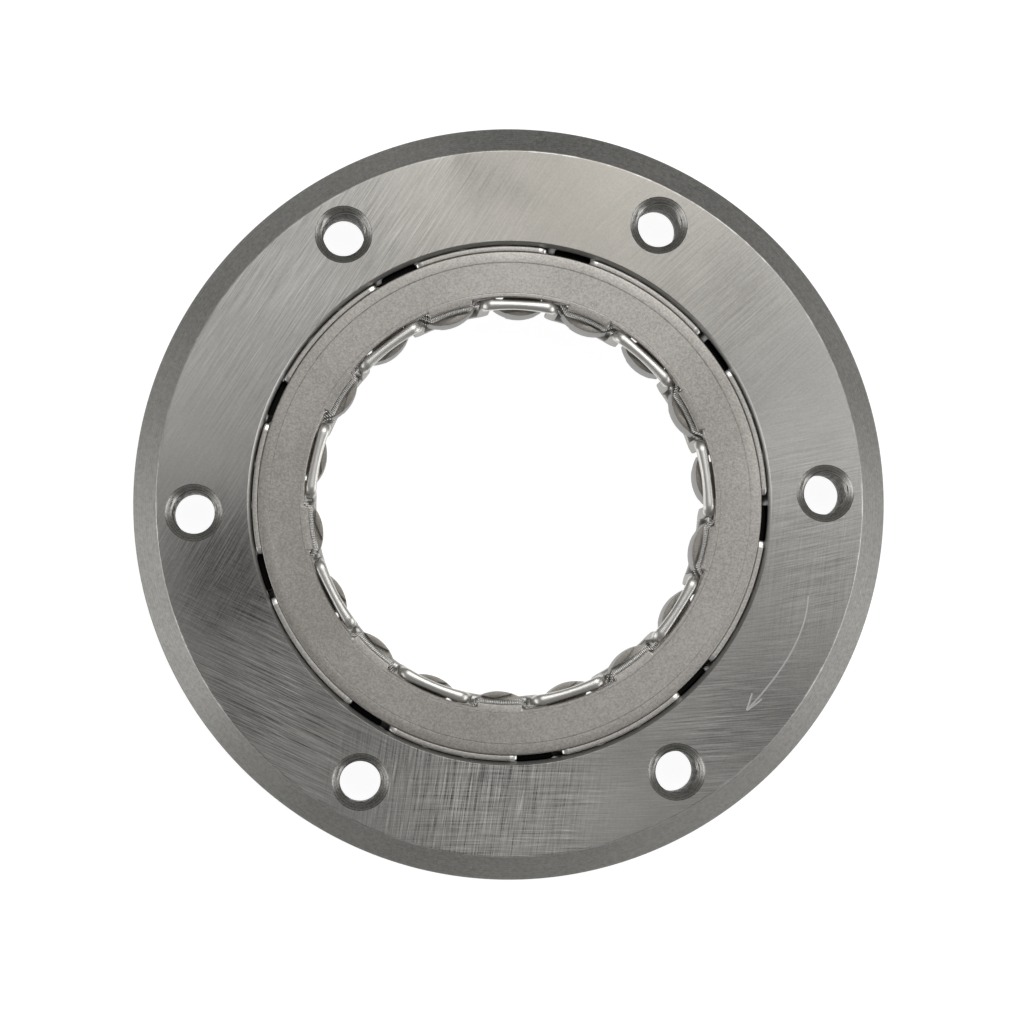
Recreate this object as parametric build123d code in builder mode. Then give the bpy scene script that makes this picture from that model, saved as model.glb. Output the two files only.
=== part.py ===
from build123d import *
from math import asin, cos, degrees, radians, sin, sqrt, tan
import os

# One-way sprag clutch, in millimetres.
# The clutch axis is Z. The mounting face of the ring lies on Z = 0 and the marked front face is up.
# Angles are in degrees from +X, anticlockwise as seen from the front.

# Outer ring, the race that bolts to a rotor
RING_WALL = 14.3
RING_THICKNESS = 12.0
FRONT_BEVEL = 2.9
BACK_BEVEL = 0.8
BORE_CHAMFER = 0.5
BOLT_COUNT = 6
BOLT_ANGLE = 1.8
BOLT_CIRCLE_INSET = 0.2
TAPPED_HOLE = 5.0
COUNTERSINK = 6.95
BACK_HOLE_CHAMFER = 0.3

# Inner boss that runs inside the sprags
BOSS_DIAMETER = 45.66
FREE_BITE = 0.10

# Sprags
SPRAG_COUNT = 18
SPRAG_SPACE = 8.32
SPRAG_END_GAP = 0.6
OUTER_CAM_RADIUS = 4.2
INNER_CAM_RADIUS = 5.0
CAM_OFFSET = 0.85
OUTER_HEAD_WIDTH = 5.2
INNER_HEAD_WIDTH = 5.8
WAIST_WIDTH = 3.6
SPRAG_CORNER = 0.45
SPRAG_APEX_ANGLE = 7.4
SPRAG_TILT = 9.25

# Outer cage, a drawn cup with sprag windows and nine drag fingers
CAGE_SHEET = 0.9
NOTCH_DEPTH = 0.55
NOTCH_SPAN = 27.4
NOTCH_ANGLE = 7.1
CAGE_BEND = 0.65
WINDOW_RIM = 0.4
SLOT_SPAN = 10.2
SLOT_ANGLE = 36.7
SLOT_DEPTH = 2.4
SLOT_CORNER = 0.3
SEAT_FLANGE_WIDTH = 1.85
SEAT_FLANGE_RECESS = 0.2

# Inner cage, a meander band that folds outwards over the sprag ends
BAND_SHEET = 0.6
BAR_WIDTH = 1.4
BAR_DEPTH = 1.0
BAR_BEND = 0.55
CROSSBAR_WIDTH = 1.4
BAND_CORNER = 1.0

# Garter springs in the sprag end grooves, each the envelope of its coils
GARTER_COIL = 1.1
GARTER_SIDES = 8
GARTER_END_GAP = 0.15

# Clearances between pieces
CAM_CLEARANCE = 0.05
BOSS_CLEARANCE = 0.52
WALL_CLEARANCE = 0.10
SEAT_CLEARANCE = 0.05
WINDOW_CLEARANCE = 0.6
BAR_CLEARANCE = 0.10
GARTER_CLEARANCE = 0.05
GROOVE_CLEARANCE = 0.08
END_CLEARANCE = 0.10

# Radii worked out from the sizes above
bore_radius = BOSS_DIAMETER / 2 + SPRAG_SPACE
ring_radius = bore_radius + RING_WALL
bolt_radius = (ring_radius + bore_radius) / 2 - BOLT_CIRCLE_INSET
free_radius = BOSS_DIAMETER / 2 - FREE_BITE
wall_outer = bore_radius - WALL_CLEARANCE
wall_inner = wall_outer - CAGE_SHEET
seat_flange_radius = wall_outer + SEAT_FLANGE_WIDTH
seat_radius = seat_flange_radius + WALL_CLEARANCE
band_inner_radius = BOSS_DIAMETER / 2 + BOSS_CLEARANCE
band_outer_radius = band_inner_radius + BAND_SHEET
bar_radius = band_inner_radius + BAR_WIDTH
notch_radius = bar_radius + BAR_CLEARANCE
land_radius = notch_radius - NOTCH_DEPTH
garter_radius = band_outer_radius + GARTER_CLEARANCE + GARTER_COIL / 2

# Heights worked out from the sizes above
cage_top = RING_THICKNESS
flange_bottom = cage_top - CAGE_SHEET
seat_flange_bottom = SEAT_FLANGE_RECESS
seat_flange_top = seat_flange_bottom + CAGE_SHEET
seat_depth = seat_flange_top + SEAT_CLEARANCE
middle = RING_THICKNESS / 2 + END_CLEARANCE
sprag_top = flange_bottom - SPRAG_END_GAP
sprag_bottom = 2 * middle - sprag_top
front_garter_z = flange_bottom - GARTER_END_GAP - GARTER_COIL / 2
back_garter_z = 2 * middle - front_garter_z
band_top = cage_top - SEAT_CLEARANCE
band_bottom = 2 * middle - band_top

# Sprag geometry: the sprag rocks about the centre of its outer cam
pivot_radius = bore_radius - CAM_CLEARANCE - OUTER_CAM_RADIUS
inner_centre_radius = free_radius + INNER_CAM_RADIUS
apex_lead = degrees(asin(CAM_OFFSET / inner_centre_radius))
pivot_angle = SPRAG_APEX_ANGLE - apex_lead
inner_centre_x = inner_centre_radius * cos(radians(apex_lead))
sprag_pitch = 360 / SPRAG_COUNT
station_count = SPRAG_COUNT // 2


def arc_point(centre_x, centre_y, radius, side_y, facing):
    """Point of a cam circle at the height side_y, on the side given by facing (+1 out, -1 in)."""
    reach = sqrt(radius**2 - (side_y - centre_y) ** 2)
    return (centre_x + facing * reach, side_y)


# Clutch ring
with BuildPart() as clutch_outer:
    with BuildSketch():
        Circle(ring_radius)
        Circle(bore_radius, mode=Mode.SUBTRACT)
    extrude(amount=RING_THICKNESS)
    with BuildSketch():
        Circle(seat_radius)
    extrude(amount=seat_depth, mode=Mode.SUBTRACT)
    front_edges = clutch_outer.edges().filter_by(GeomType.CIRCLE).group_by(Axis.Z)[-1]
    chamfer(front_edges.sort_by(SortBy.RADIUS)[-1], FRONT_BEVEL)
    chamfer(front_edges.sort_by(SortBy.RADIUS)[0], BORE_CHAMFER)
    back_edges = clutch_outer.edges().filter_by(GeomType.CIRCLE).group_by(Axis.Z)[0]
    chamfer(back_edges.sort_by(SortBy.RADIUS)[-1], BACK_BEVEL)
    with Locations(Plane.XY.offset(RING_THICKNESS)):
        with PolarLocations(bolt_radius, BOLT_COUNT, start_angle=BOLT_ANGLE):
            CounterSinkHole(TAPPED_HOLE / 2, COUNTERSINK / 2, counter_sink_angle=90)
    hole_edges = clutch_outer.edges().filter_by(GeomType.CIRCLE).group_by(Axis.Z)[0]
    chamfer(hole_edges.sort_by(SortBy.RADIUS)[:BOLT_COUNT], BACK_HOLE_CHAMFER)

# Cutter for one sprag window of the outer cage
window_width = 2 * sqrt(OUTER_CAM_RADIUS**2 - (wall_inner - pivot_radius) ** 2) + 2 * WINDOW_CLEARANCE
with BuildPart() as window_cutter:
    with BuildSketch(Plane.YZ.offset(wall_inner - CAGE_SHEET)):
        with Locations((0, (seat_flange_top + flange_bottom) / 2)):
            Rectangle(window_width, flange_bottom - seat_flange_top - 2 * WINDOW_RIM)
    extrude(amount=3 * CAGE_SHEET)

# Outline of one flange notch, an arc piece that clears a front bar of the inner cage
with BuildSketch() as notch_outline:
    with BuildLine():
        notch_arc = CenterArc((0, 0), notch_radius, -NOTCH_SPAN / 2, NOTCH_SPAN)
        Polyline(notch_arc @ 1, (0, 0), notch_arc @ 0)
    make_face()

# Outline of one corner slot, which frees the front end of a drag finger
with BuildSketch() as slot_outline:
    with BuildLine():
        slot_arc = CenterArc((0, 0), ring_radius, -SLOT_SPAN / 2, SLOT_SPAN)
        Polyline(slot_arc @ 1, (0, 0), slot_arc @ 0)
    make_face()
    Circle(wall_outer - CAGE_BEND, mode=Mode.SUBTRACT)
    fillet(slot_outline.vertices().sort_by_distance((0, 0, 0))[:2], SLOT_CORNER)

# Outer cage
with BuildPart() as outer_cage:
    with BuildSketch(Plane.XZ):
        with BuildLine():
            Polyline(
                (land_radius, cage_top),
                (wall_outer, cage_top),
                (wall_outer, seat_flange_top),
                (seat_flange_radius, seat_flange_top),
                (seat_flange_radius, seat_flange_bottom),
                (wall_inner, seat_flange_bottom),
                (wall_inner, flange_bottom),
                (land_radius, flange_bottom),
                close=True,
            )
        cup = make_face()
        front_bend = cup.vertices().filter_by_position(Axis.X, wall_outer - 0.01, wall_outer + 0.01)
        fillet(front_bend.sort_by(Axis.Y)[-1], CAGE_BEND)
    revolve(axis=Axis.Z)
    with BuildSketch(Plane.XY.offset(flange_bottom)):
        with PolarLocations(0, station_count, start_angle=NOTCH_ANGLE):
            add(notch_outline.sketch)
    extrude(amount=CAGE_SHEET, mode=Mode.SUBTRACT)
    with PolarLocations(0, SPRAG_COUNT, start_angle=pivot_angle):
        add(window_cutter.part, mode=Mode.SUBTRACT)
    with BuildSketch(Plane.XY.offset(cage_top)):
        with PolarLocations(0, station_count, start_angle=SLOT_ANGLE):
            add(slot_outline.sketch)
    extrude(amount=-SLOT_DEPTH, mode=Mode.SUBTRACT)


def opening_cutter(open_z, closed_z):
    """Cutter for an opening between two crossbars, open towards open_z, round at its closed end."""
    half = band_outer_radius * sin(radians(sprag_pitch / 2)) - CROSSBAR_WIDTH / 2
    past = half + 2 * BAND_CORNER
    beyond = 2 * open_z - closed_z
    corners = [(-past, open_z), (-half, open_z), (-half, closed_z)]
    corners += [(half, closed_z), (half, open_z), (past, open_z)]
    with BuildPart() as cutter:
        with BuildSketch(Plane.YZ.offset(band_outer_radius)):
            with BuildLine():
                FilletPolyline(*corners, radius=BAND_CORNER)
                Polyline((past, open_z), (past, beyond), (-past, beyond), (-past, open_z))
            make_face()
        extrude(amount=2 * BAR_WIDTH, both=True)
    return cutter.part


front_bar_cutter = opening_cutter(band_bottom, band_top - BAR_DEPTH)
back_bar_cutter = opening_cutter(band_top, band_bottom + BAR_DEPTH)

# Inner cage: a channel-section ring cut into a meander by openings from both ends in turn
with BuildPart() as inner_cage:
    with BuildSketch(Plane.XZ):
        with BuildLine():
            Polyline(
                (band_inner_radius, band_bottom),
                (bar_radius, band_bottom),
                (bar_radius, band_bottom + BAND_SHEET),
                (band_outer_radius, band_bottom + BAND_SHEET),
                (band_outer_radius, band_top - BAND_SHEET),
                (bar_radius, band_top - BAND_SHEET),
                (bar_radius, band_top),
                (band_inner_radius, band_top),
                close=True,
            )
        channel = make_face()
        bends = channel.vertices().group_by(Axis.X)[0]
        fillet(bends, BAR_BEND)
    revolve(axis=Axis.Z)
    with PolarLocations(0, station_count, start_angle=SPRAG_APEX_ANGLE):
        add(front_bar_cutter, mode=Mode.SUBTRACT)
    with PolarLocations(0, station_count, start_angle=SPRAG_APEX_ANGLE + sprag_pitch):
        add(back_bar_cutter, mode=Mode.SUBTRACT)


def export_piece(piece, label):
    """Name a finished piece and write its STEP file."""
    piece.label = label
    export_step(piece, f"parts/{label}.step")


os.makedirs("parts", exist_ok=True)
export_piece(clutch_outer.part, "clutch_outer")
export_piece(outer_cage.part, "outer_cage")
export_piece(inner_cage.part, "inner_cage")

# Garter springs
for label, height in (("front_garter_spring", front_garter_z), ("back_garter_spring", back_garter_z)):
    with BuildPart() as garter:
        with BuildSketch(Plane.XZ):
            with Locations((garter_radius, height)):
                RegularPolygon(GARTER_COIL / 2, GARTER_SIDES)
        revolve(axis=Axis.Z)
    export_piece(garter.part, label)

# One sprag, lying on the +X axis with its pivot at pivot_radius
outer_half = OUTER_HEAD_WIDTH / 2
waist_half = WAIST_WIDTH / 2
apex_y = free_radius * sin(radians(apex_lead))
inner_high_y = apex_y + INNER_HEAD_WIDTH / 2
inner_low_y = apex_y - INNER_HEAD_WIDTH / 2
outer_high = arc_point(pivot_radius, 0, OUTER_CAM_RADIUS, outer_half, 1)
outer_low = arc_point(pivot_radius, 0, OUTER_CAM_RADIUS, -outer_half, 1)
inner_high = arc_point(inner_centre_x, CAM_OFFSET, INNER_CAM_RADIUS, inner_high_y, -1)
inner_low = arc_point(inner_centre_x, CAM_OFFSET, INNER_CAM_RADIUS, inner_low_y, -1)

# Outline of an end groove, flared so that it clears the spring while the sprag rocks
groove_half = GARTER_COIL / 2 + GROOVE_CLEARANCE
groove_depth = sprag_top - front_garter_z + groove_half
groove_inner = garter_radius - groove_half
groove_outer = garter_radius + groove_half
groove_run = INNER_HEAD_WIDTH
flare = groove_run * tan(radians(SPRAG_TILT))
sag = groove_run**2 / (2 * garter_radius)
with BuildSketch() as groove_outline:
    with BuildLine():
        Polyline(
            (groove_inner - sag, -groove_run),
            (groove_inner, 0),
            (groove_inner - sag - flare, groove_run),
            (groove_outer, groove_run),
            (groove_outer, 0),
            (groove_outer + flare, -groove_run),
            close=True,
        )
    make_face()

with BuildPart() as sprag_blank:
    with BuildSketch(Plane.XY.offset(sprag_bottom)):
        with BuildLine():
            ThreePointArc(outer_low, (pivot_radius + OUTER_CAM_RADIUS, 0), outer_high)
            ThreePointArc(outer_high, (pivot_radius, waist_half), inner_high)
            ThreePointArc(inner_high, (inner_centre_x - INNER_CAM_RADIUS, CAM_OFFSET), inner_low)
            ThreePointArc(inner_low, (pivot_radius, -waist_half), outer_low)
        body = make_face()
        fillet(body.vertices(), SPRAG_CORNER)
    extrude(amount=sprag_top - sprag_bottom)
    with BuildSketch(Plane.XY.offset(sprag_top - groove_depth)):
        add(groove_outline.sketch)
    extrude(amount=groove_depth, mode=Mode.SUBTRACT)
    with BuildSketch(Plane.XY.offset(sprag_bottom)):
        add(groove_outline.sketch)
    extrude(amount=groove_depth, mode=Mode.SUBTRACT)

# Sprags around the clutch
for index in range(SPRAG_COUNT):
    with BuildPart() as sprag:
        with Locations(Rotation(0, 0, pivot_angle + index * sprag_pitch)):
            add(sprag_blank.part)
    export_piece(sprag.part, f"sprag_{index + 1:02d}")
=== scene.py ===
import logging
import math
from dataclasses import dataclass
from enum import Enum
from functools import reduce

import bmesh
import bpy
import numpy as np
from mathutils import Matrix, Vector


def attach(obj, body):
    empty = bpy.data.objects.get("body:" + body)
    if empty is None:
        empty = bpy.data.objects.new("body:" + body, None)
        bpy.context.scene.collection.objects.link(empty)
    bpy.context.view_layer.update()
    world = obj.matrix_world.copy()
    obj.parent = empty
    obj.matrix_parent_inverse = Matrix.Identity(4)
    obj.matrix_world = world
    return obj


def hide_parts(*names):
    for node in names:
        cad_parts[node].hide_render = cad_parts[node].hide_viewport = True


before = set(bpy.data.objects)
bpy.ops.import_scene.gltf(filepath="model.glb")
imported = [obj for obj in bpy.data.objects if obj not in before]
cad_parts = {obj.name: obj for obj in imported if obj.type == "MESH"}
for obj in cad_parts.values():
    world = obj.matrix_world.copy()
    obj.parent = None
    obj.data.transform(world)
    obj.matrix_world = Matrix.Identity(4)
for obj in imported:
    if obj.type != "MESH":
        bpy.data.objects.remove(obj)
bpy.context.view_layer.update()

MM = 0.001
TURN = 2.0 * math.pi
MERGE_DISTANCE = 1e-7
NORMAL_WEIGHT = 60
SHARP_CORNER = 38.0

log = logging.getLogger("sprag_clutch")


class Finish(Enum):
    """The steel finishes of the clutch, by the record's material slot."""

    RING = "ring_steel"
    CAGE = "cage_steel"
    BAND = "band_steel"
    SPRING = "spring_steel"
    SPRAG = "sprag_steel"


# Shapes worked out as whole arrays


def polar(radius: np.ndarray, angle: np.ndarray, height: np.ndarray) -> np.ndarray:
    """Points at a radius, angle and height: x = r cos a, y = r sin a, z = h.

    Args:
        radius: Distances from the clutch axis.
        angle: Angles from +X in radians.
        height: Heights along the clutch axis.

    Returns:
        An array of the inputs' common shape with a last axis of x, y, z.
    """
    radius, angle, height = np.broadcast_arrays(radius, angle, height)
    return np.stack([radius * np.cos(angle), radius * np.sin(angle), height], axis=-1)


def rounded_loop(corners: list[tuple[float, float, float]], steps: int = 5) -> np.ndarray:
    """Closed outline whose corners are arcs.

    Each arc touches both sides at the tangent length, radius / tan(half the corner's angle),
    and its points turn evenly from one tangent point to the other about the arc's centre.

    Args:
        corners: Corner points with the radius of the arc at each.
        steps: Segments in each arc.

    Returns:
        The outline's points, shape (corners * (steps + 1), 2).
    """
    table = np.array(corners, dtype=float)
    point, radius = table[:, :2], table[:, 2:3]
    back = np.roll(point, 1, axis=0) - point
    ahead = np.roll(point, -1, axis=0) - point
    back /= np.linalg.norm(back, axis=1, keepdims=True)
    ahead /= np.linalg.norm(ahead, axis=1, keepdims=True)
    half = np.arccos(np.clip(np.sum(back * ahead, axis=1, keepdims=True), -1, 1)) / 2
    bisector = back + ahead
    bisector /= np.linalg.norm(bisector, axis=1, keepdims=True)
    centre = point + bisector * radius / np.sin(half)
    start = point + back * radius / np.tan(half) - centre
    end = point + ahead * radius / np.tan(half) - centre
    sweep = math.pi - 2 * half
    share = np.linspace(0, 1, steps + 1)[None, :, None]
    sweep = sweep[:, None, :]
    turned = start[:, None, :] * np.sin((1 - share) * sweep)
    turned = turned + end[:, None, :] * np.sin(share * sweep)
    return (centre[:, None, :] + turned / np.sin(sweep)).reshape(-1, 2)


def arc(centre: tuple, radius: float, start: float, end: float, count: int) -> np.ndarray:
    """Points on a circle about a centre, from one angle to another in radians.

    Args:
        centre: The circle's centre.
        radius: The circle's radius.
        start: First angle.
        end: Last angle.
        count: Number of points.

    Returns:
        The points, shape (count, 2).
    """
    angle = np.linspace(start, end, count)
    return np.array(centre) + radius * np.stack([np.cos(angle), np.sin(angle)], axis=1)


def quadratic(start: tuple, bend: tuple, end: tuple, count: int) -> np.ndarray:
    """Points of a quadratic curve: (1 - s)^2 start + 2 s (1 - s) bend + s^2 end.

    Args:
        start: First point.
        bend: Where the end tangents meet.
        end: Last point.
        count: Number of points.

    Returns:
        The points, shape (count, 2).
    """
    share = np.linspace(0, 1, count)[:, None]
    ends = (1 - share) ** 2 * np.array(start) + share**2 * np.array(end)
    return ends + 2 * share * (1 - share) * np.array(bend)


def grid_quads(rows: int, columns: int, wrap_rows: bool, wrap_columns: bool) -> np.ndarray:
    """Quads between neighbours of a grid of points numbered row by row.

    Args:
        rows: Number of rows.
        columns: Number of columns.
        wrap_rows: Whether the last row joins the first.
        wrap_columns: Whether the last column joins the first.

    Returns:
        Corner numbers, shape (quads, 4).
    """
    number = np.arange(rows * columns).reshape(rows, columns)
    if wrap_rows:
        number = np.vstack([number, number[:1]])
    if wrap_columns:
        number = np.hstack([number, number[:, :1]])
    corners = [number[:-1, :-1], number[1:, :-1], number[1:, 1:], number[:-1, 1:]]
    return np.stack(corners, axis=-1).reshape(-1, 4)


@dataclass
class Shell:
    """A surface as plain arrays: points in millimetres, and faces as lists of point numbers."""

    points: np.ndarray
    faces: list

    def turned(self, angle: float) -> "Shell":
        """The same surface turned about the clutch axis by an angle in radians."""
        cosine, sine = math.cos(angle), math.sin(angle)
        return Shell(self.points @ [[cosine, sine, 0], [-sine, cosine, 0], [0, 0, 1]], self.faces)


def lathe(outline: np.ndarray, segments: int) -> Shell:
    """Closed ring: the outline (radius, height) carried round the clutch axis.

    Args:
        outline: Closed outline, anticlockwise with the radius to the right.
        segments: Steps round the axis.

    Returns:
        The closed ring surface.
    """
    angle = np.linspace(0, TURN, segments, endpoint=False)[:, None]
    points = polar(outline[None, :, 0], angle, outline[None, :, 1])
    faces = grid_quads(segments, len(outline), True, True)
    return Shell(points.reshape(-1, 3), faces.tolist())


def prism(rings: np.ndarray) -> Shell:
    """Closed body through equal rings of points, with a flat face on its first and last ring.

    Args:
        rings: Points, shape (rings, points in a ring, 3).

    Returns:
        The closed surface.
    """
    layers, count, _ = rings.shape
    faces = grid_quads(layers, count, False, True).tolist()
    faces.append(list(range(count))[::-1])
    faces.append(list(range((layers - 1) * count, layers * count)))
    return Shell(rings.reshape(-1, 3), faces)


def upright_prism(outline: np.ndarray, low: float, high: float) -> Shell:
    """Outline (x, y) carried from one height to another."""
    flat = np.column_stack([outline, np.full(len(outline), low)])
    return prism(np.stack([flat, flat + [0, 0, high - low]]))


def radial_prism(outline: np.ndarray, near: float, far: float) -> Shell:
    """Outline (y, z) carried outwards along +X from one radius to another."""
    flat = np.column_stack([np.full(len(outline), near), outline])
    return prism(np.stack([flat, flat + [far - near, 0, 0]]))


def tube(
    path: np.ndarray, side: np.ndarray, up: np.ndarray, radius: float, count: int, closed: bool
) -> Shell:
    """Round tube about a path: each ring is centre + radius (side cos t + up sin t).

    Args:
        path: Centre points, shape (n, 3).
        side: Unit vectors across the path.
        up: Unit vectors across the path and the side.
        radius: Tube radius.
        count: Points in a ring.
        closed: Whether the path returns to its start.

    Returns:
        The closed tube.
    """
    around = np.linspace(0, TURN, count, endpoint=False)[None, :, None]
    offsets = side[:, None, :] * np.cos(around) + up[:, None, :] * np.sin(around)
    rings = path[:, None, :] + radius * offsets
    if closed:
        return Shell(rings.reshape(-1, 3), grid_quads(len(path), count, True, True).tolist())
    return prism(rings)


def join(shells: list[Shell]) -> Shell:
    """All surfaces as one, with the later ones' point numbers moved up.

    Args:
        shells: The surfaces.

    Returns:
        The joined surface.
    """
    points, faces, first = [], [], 0
    for shell in shells:
        points.append(shell.points)
        faces += [[corner + first for corner in face] for face in shell.faces]
        first += len(shell.points)
    return Shell(np.vstack(points), faces)


def linked(name: str, data: bpy.types.ID) -> bpy.types.Object:
    """Object of a mesh, lamp or camera, linked to the scene.

    Args:
        name: The object's name.
        data: What it shows.

    Returns:
        The object.
    """
    thing = bpy.data.objects.new(name, data)
    bpy.context.scene.collection.objects.link(thing)
    return thing


def piece(name: str, shell: Shell, material: bpy.types.Material) -> bpy.types.Object:
    """Blender object of a surface, in metres, with its normals facing out.

    Args:
        name: The object's name.
        shell: The surface in millimetres.
        material: Its finish.

    Returns:
        The linked object.
    """
    mesh = bpy.data.meshes.new(name)
    mesh.from_pydata((shell.points * MM).tolist(), [], shell.faces)
    mesh.validate()
    mesh.materials.append(material)
    face_outwards(mesh)
    return linked(name, mesh)


def face_outwards(mesh: bpy.types.Mesh) -> None:
    """Turn a closed mesh's faces outwards, after merging points that coincide.

    Args:
        mesh: The closed mesh.
    """
    work = bmesh.new()
    work.from_mesh(mesh)
    bmesh.ops.remove_doubles(work, verts=work.verts, dist=MERGE_DISTANCE)
    bmesh.ops.recalc_face_normals(work, faces=work.faces)
    work.to_mesh(mesh)
    work.free()


def settle(thing: bpy.types.Object) -> None:
    """Apply an object's modifiers to its mesh.

    Args:
        thing: The object.
    """
    graph = bpy.context.evaluated_depsgraph_get()
    mesh = bpy.data.meshes.new_from_object(
        thing.evaluated_get(graph), preserve_all_data_layers=True, depsgraph=graph
    )
    old = thing.data
    thing.modifiers.clear()
    thing.data = mesh
    bpy.data.meshes.remove(old)


def carve(
    thing: bpy.types.Object, cutter: bpy.types.Object, operation: str = "DIFFERENCE"
) -> None:
    """Cut one body out of another, or add it; the new faces keep the second body's finish.

    Args:
        thing: The body that stays.
        cutter: The second body, which is used up.
        operation: Difference or union.
    """
    cut = thing.modifiers.new("cut", "BOOLEAN")
    cut.operation = operation
    cut.solver = "EXACT"
    cut.material_mode = "TRANSFER"
    cut.object = cutter
    settle(thing)
    old = cutter.data
    bpy.data.objects.remove(cutter)
    bpy.data.meshes.remove(old)


def smooth(mesh: bpy.types.Mesh, corner: float = 180.0) -> None:
    """Shade smooth, with edges sharper than an angle in degrees kept sharp."""
    mesh.polygons.foreach_set("use_smooth", np.ones(len(mesh.polygons), dtype=bool))
    mesh.set_sharp_from_angle(angle=math.radians(corner))


def face_vectors(mesh: bpy.types.Mesh, kind: str) -> np.ndarray:
    """A vector of each face.

    Args:
        mesh: The mesh.
        kind: Which vector, the face's center or its normal.

    Returns:
        The vectors, shape (faces, 3).
    """
    values = np.zeros(len(mesh.polygons) * 3)
    mesh.polygons.foreach_get(kind, values)
    return values.reshape(-1, 3)


def second_finish(mesh: bpy.types.Mesh, chosen: np.ndarray, finish: bpy.types.Material) -> None:
    """Give some faces a second finish.

    Args:
        mesh: The mesh, with one finish so far.
        chosen: True for each face that changes.
        finish: The second finish.
    """
    mesh.materials.append(finish)
    mesh.polygons.foreach_set("material_index", chosen.astype(np.int32))


def soften(
    thing: bpy.types.Object, corner: float, width: float = 0.0, segments: int = 0
) -> None:
    """Round the sharp edges of a cut body and even out its shading.

    Args:
        thing: The object.
        corner: Edges sharper than this angle in degrees are rounded.
        width: Bevel width in millimetres, or 0 for none.
        segments: Bevel segments.
    """
    if width > 0:
        bevel = thing.modifiers.new("edges", "BEVEL")
        bevel.width = width * MM
        bevel.segments = segments
        bevel.limit_method = "ANGLE"
        bevel.angle_limit = math.radians(corner)
        bevel.use_clamp_overlap = True
        bevel.miter_outer = "MITER_ARC"
        bevel.harden_normals = False
        settle(thing)
    smooth(thing.data, corner)
    weigh = thing.modifiers.new("normals", "WEIGHTED_NORMAL")
    weigh.keep_sharp = True
    weigh.weight = NORMAL_WEIGHT
    settle(thing)


# Shader effects shared by several finishes

Socket = bpy.types.NodeSocket
FLOAT = "NodeSocketFloat"
VECTOR = "NodeSocketVector"
NODE_SPACING = 180
MIX_FIRST, MIX_SECOND, MIX_RESULT = 6, 7, 2

# Scale in a metre, detail and roughness of the fine, coarse and slow grain
GRAIN_NOISES = ((4200.0, 3.0, 0.7), (800.0, 4.0, 0.6), (55.0, 3.0, 0.5))

# Turn in degrees, features in a metre along and across, detail and roughness of the lines
LONG_LINES = (0.0, (75.0, 7600.0, 1.0), 2.0, 0.7)
SHORT_LINES = (0.0, (240.0, 4900.0, 1.0), 2.0, 0.6)
SCRATCHES = (5.0, (130.0, 6200.0, 1.0), 1.0, 0.5)

# Shares of long and short lines, and the step on which a scratch rises
LINE_SHARES = (0.6, 0.4)
SCRATCH_STEP = (0.68, 0.78, 0.0, 0.16)

# Near-black colour of the painted shade laid deep in recesses
PAINTED_SHADE = (0.012, 0.012, 0.011, 1.0)
BUMP_HEIGHT = 0.02
FRONT = 12.0


class NodeSheet:
    """Short calls for placing and linking shader nodes in one tree."""

    def __init__(self, tree: bpy.types.NodeTree) -> None:
        """Keep the tree."""
        self.tree = tree

    def feed(self, sockets: object, values: dict) -> None:
        """Give inputs their values.

        Args:
            sockets: The inputs of a node.
            values: A socket to link or a plain value, by the input's name or number.
        """
        for key, value in values.items():
            if isinstance(value, Socket):
                self.tree.links.new(value, sockets[key])
            else:
                sockets[key].default_value = value

    def node(self, kind: str, values: dict, **properties: object) -> bpy.types.bpy_prop_collection:
        """Place a node.

        Args:
            kind: The shader node's type.
            values: Its inputs' values by name or number.
            properties: Its properties by name.

        Returns:
            The node's outputs.
        """
        made = self.tree.nodes.new("ShaderNode" + kind)
        made.location = (len(self.tree.nodes) * NODE_SPACING, 0)
        for key, value in properties.items():
            setattr(made, key, value)
        self.feed(made.inputs, values)
        return made.outputs

    def math(self, operation: str, *values: object, clamp: bool = False) -> Socket:
        """A Math node's result from sockets and numbers, held between 0 and 1 when clamped."""
        given = dict(enumerate(values))
        return self.node("Math", given, operation=operation, use_clamp=clamp)[0]

    def add(self, *values: object) -> Socket:
        """Sum of sockets and numbers."""
        return reduce(lambda total, value: self.math("ADD", total, value), values)

    def times(self, *values: object) -> Socket:
        """Product of sockets and numbers."""
        return reduce(lambda total, value: self.math("MULTIPLY", total, value), values)

    def ramp(self, *values: object) -> Socket:
        """Smooth step of a value from a start to an end, onto 0 to 1 or onto two more values."""
        given = dict(enumerate(values))
        return self.node("MapRange", given, interpolation_type="SMOOTHSTEP")[0]

    def noise(
        self, vector: object, scale: float, detail: float, roughness: float, shape: str = "3D"
    ) -> Socket:
        """Noise about 0.5 of a position, with its features in a metre, octaves and their share."""
        given = {"Vector": vector, "Scale": scale, "Detail": detail, "Roughness": roughness}
        return self.node("TexNoise", given, noise_dimensions=shape)["Fac"]

    def turned(self, vector: object, turn: float) -> Socket:
        """A position turned about Z by degrees."""
        return self.node("Mapping", {"Vector": vector, "Rotation": (0, 0, math.radians(turn))})[0]

    def lines(
        self, vector: object, turn: float, stretch: tuple, detail: float, roughness: float
    ) -> Socket:
        """Flat noise about 0.5, turned from X and drawn out into lines by its stretch."""
        scaled = self.node("Mapping", {"Vector": self.turned(vector, turn), "Scale": stretch})[0]
        return self.noise(scaled, 1.0, detail, roughness, "2D")

    def mix(self, share: object, first: object, second: object, blend: str = "MIX") -> Socket:
        """Blend of two colours, by the share of the second."""
        given = {"Factor": share, MIX_FIRST: first, MIX_SECOND: second}
        return self.node("Mix", given, data_type="RGBA", blend_type=blend)[MIX_RESULT]


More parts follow.
